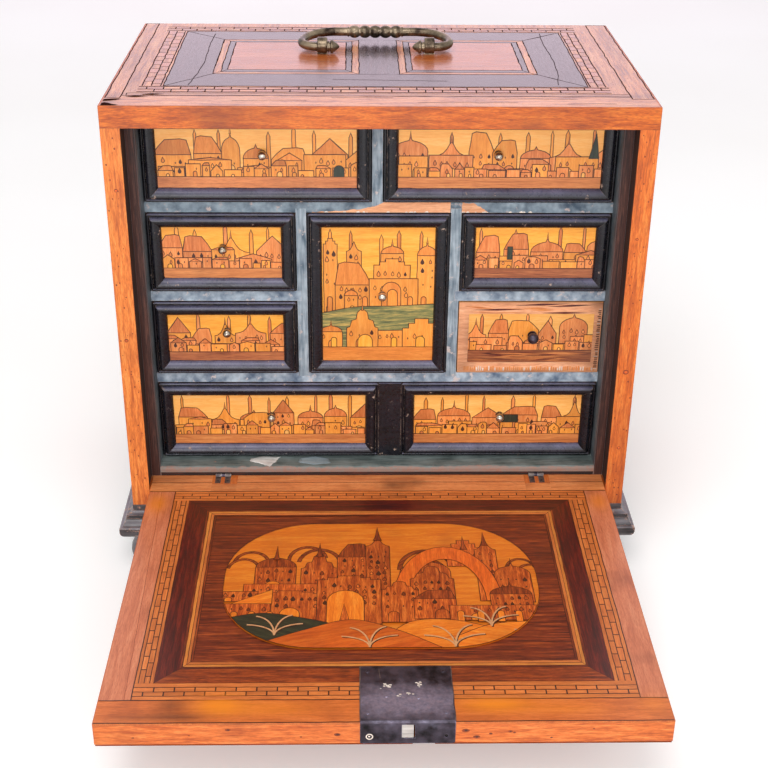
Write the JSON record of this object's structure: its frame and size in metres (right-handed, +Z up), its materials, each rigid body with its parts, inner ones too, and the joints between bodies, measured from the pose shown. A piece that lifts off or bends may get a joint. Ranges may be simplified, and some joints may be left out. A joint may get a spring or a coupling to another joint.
{
  "type": "vargueno",
  "caption": "Small marquetry table cabinet with a fall front lying open, a nest of framed drawers, a bail handle on the top and a lock.",
  "frame": {"origin": "on the floor, under the middle of the open cabinet's bounding box", "axes": "+X to the viewer's right, -Y out of the cabinet's front along the open leaf, +Z up"},
  "size_m": [0.475, 0.598, 0.4578],
  "materials": {
    "ebonised_moulding": "black stained pearwood, rubbed",
    "ebonised_foot": "black stained turned wood",
    "walnut_veneer": "waxed walnut veneer",
    "pale_deal": "bare softwood, oxidised",
    "marquetry_ground": "polished light marquetry veneer",
    "top_veneer": "polished veneer",
    "leaf_walnut": "polished dark red walnut",
    "picture_ground": "polished light marquetry veneer",
    "lining_wood": "waxed dark walnut",
    "grey_divider": "stained blue-grey, worn",
    "iron_knob": "dark worn iron",
    "brass_knob": "worn pale metal",
    "bronzed_brass": "dark patina",
    "bright_bolt": "rubbed bright",
    "worn_iron": "dark worn iron"
  },
  "bodies": {
    "case": {"base_front": "ebonised_moulding", "base_left": "ebonised_moulding", "base_right": "ebonised_moulding", "base_back": "ebonised_moulding", "bun_feet": "ebonised_foot", "side_left": "walnut_veneer", "side_right": "walnut_veneer", "back_board": "walnut_veneer", "top_board": "top_veneer", "bottom_board": "pale_deal", "sill_board": "pale_deal", "liner_left": "lining_wood", "liner_right": "lining_wood", "shelf_upper": "grey_divider", "shelf_lower": "grey_divider", "upright_top": "grey_divider", "upright_left": "grey_divider", "upright_right": "grey_divider", "short_shelves": "grey_divider", "handle_eyes": "bronzed_brass", "hinge_plates_and_pins": "worn_iron"},
    "leaf": {"leaf_board": "leaf_walnut", "leaf_veneer": "leaf_walnut", "leaf_picture": "picture_ground", "hinge_straps": "worn_iron", "lock_plate": "worn_iron", "lock_works": "worn_iron"},
    "bolt": {"lock_bolt": "bright_bolt"},
    "handle": {"bail": "bronzed_brass"},
    "drawer_top_left": {"box_top_left": "pale_deal", "front_top_left": "marquetry_ground", "knob_top_left": "brass_knob", "moulding_top_left": "ebonised_moulding"},
    "drawer_top_right": {"box_top_right": "pale_deal", "front_top_right": "marquetry_ground", "knob_top_right": "brass_knob", "moulding_top_right": "ebonised_moulding"},
    "drawer_upper_left": {"box_upper_left": "pale_deal", "front_upper_left": "marquetry_ground", "knob_upper_left": "brass_knob", "moulding_upper_left": "ebonised_moulding"},
    "drawer_upper_right": {"box_upper_right": "pale_deal", "front_upper_right": "marquetry_ground", "moulding_upper_right": "ebonised_moulding"},
    "drawer_lower_left": {"box_lower_left": "pale_deal", "front_lower_left": "marquetry_ground", "knob_lower_left": "brass_knob", "moulding_lower_left": "ebonised_moulding"},
    "drawer_lower_right": {"box_lower_right": "pale_deal", "front_lower_right": "marquetry_ground", "knob_lower_right": "iron_knob"},
    "drawer_centre": {"box_centre": "pale_deal", "front_centre": "marquetry_ground", "knob_centre": "brass_knob", "moulding_centre": "ebonised_moulding"},
    "drawer_bottom": {"box_bottom": "pale_deal", "front_bottom": "marquetry_ground", "knob_bottom": "brass_knob", "moulding_bottom": "ebonised_moulding"}
  },
  "joints": [
    {"name": "leaf_fall", "type": "hinge", "parent": "case", "child": "leaf", "pos_m": [0, 0.0374, 0.087], "axis": [1, 0, 0], "range_deg": [-90, 0]},
    {"name": "bail_swing", "type": "hinge", "parent": "case", "child": "handle", "pos_m": [-0.002, 0.1836, 0.449], "axis": [1, 0, 0], "range_deg": [0, 172]},
    {"name": "bolt_throw", "type": "slide", "parent": "leaf", "child": "bolt", "axis": [0, -1, 0], "range_m": [0, 0.008]},
    {"name": "top_left_slide", "type": "slide", "parent": "case", "child": "drawer_top_left", "axis": [0, -1, 0], "range_m": [0, 0.19]},
    {"name": "top_right_slide", "type": "slide", "parent": "case", "child": "drawer_top_right", "axis": [0, -1, 0], "range_m": [0, 0.19]},
    {"name": "upper_left_slide", "type": "slide", "parent": "case", "child": "drawer_upper_left", "axis": [0, -1, 0], "range_m": [0, 0.19]},
    {"name": "upper_right_slide", "type": "slide", "parent": "case", "child": "drawer_upper_right", "axis": [0, -1, 0], "range_m": [0, 0.19]},
    {"name": "lower_left_slide", "type": "slide", "parent": "case", "child": "drawer_lower_left", "axis": [0, -1, 0], "range_m": [0, 0.19]},
    {"name": "lower_right_slide", "type": "slide", "parent": "case", "child": "drawer_lower_right", "axis": [0, -1, 0], "range_m": [0, 0.19]},
    {"name": "centre_slide", "type": "slide", "parent": "case", "child": "drawer_centre", "axis": [0, -1, 0], "range_m": [0, 0.19]},
    {"name": "bottom_slide", "type": "slide", "parent": "case", "child": "drawer_bottom", "axis": [0, -1, 0], "range_m": [0, 0.19]}
  ]
}
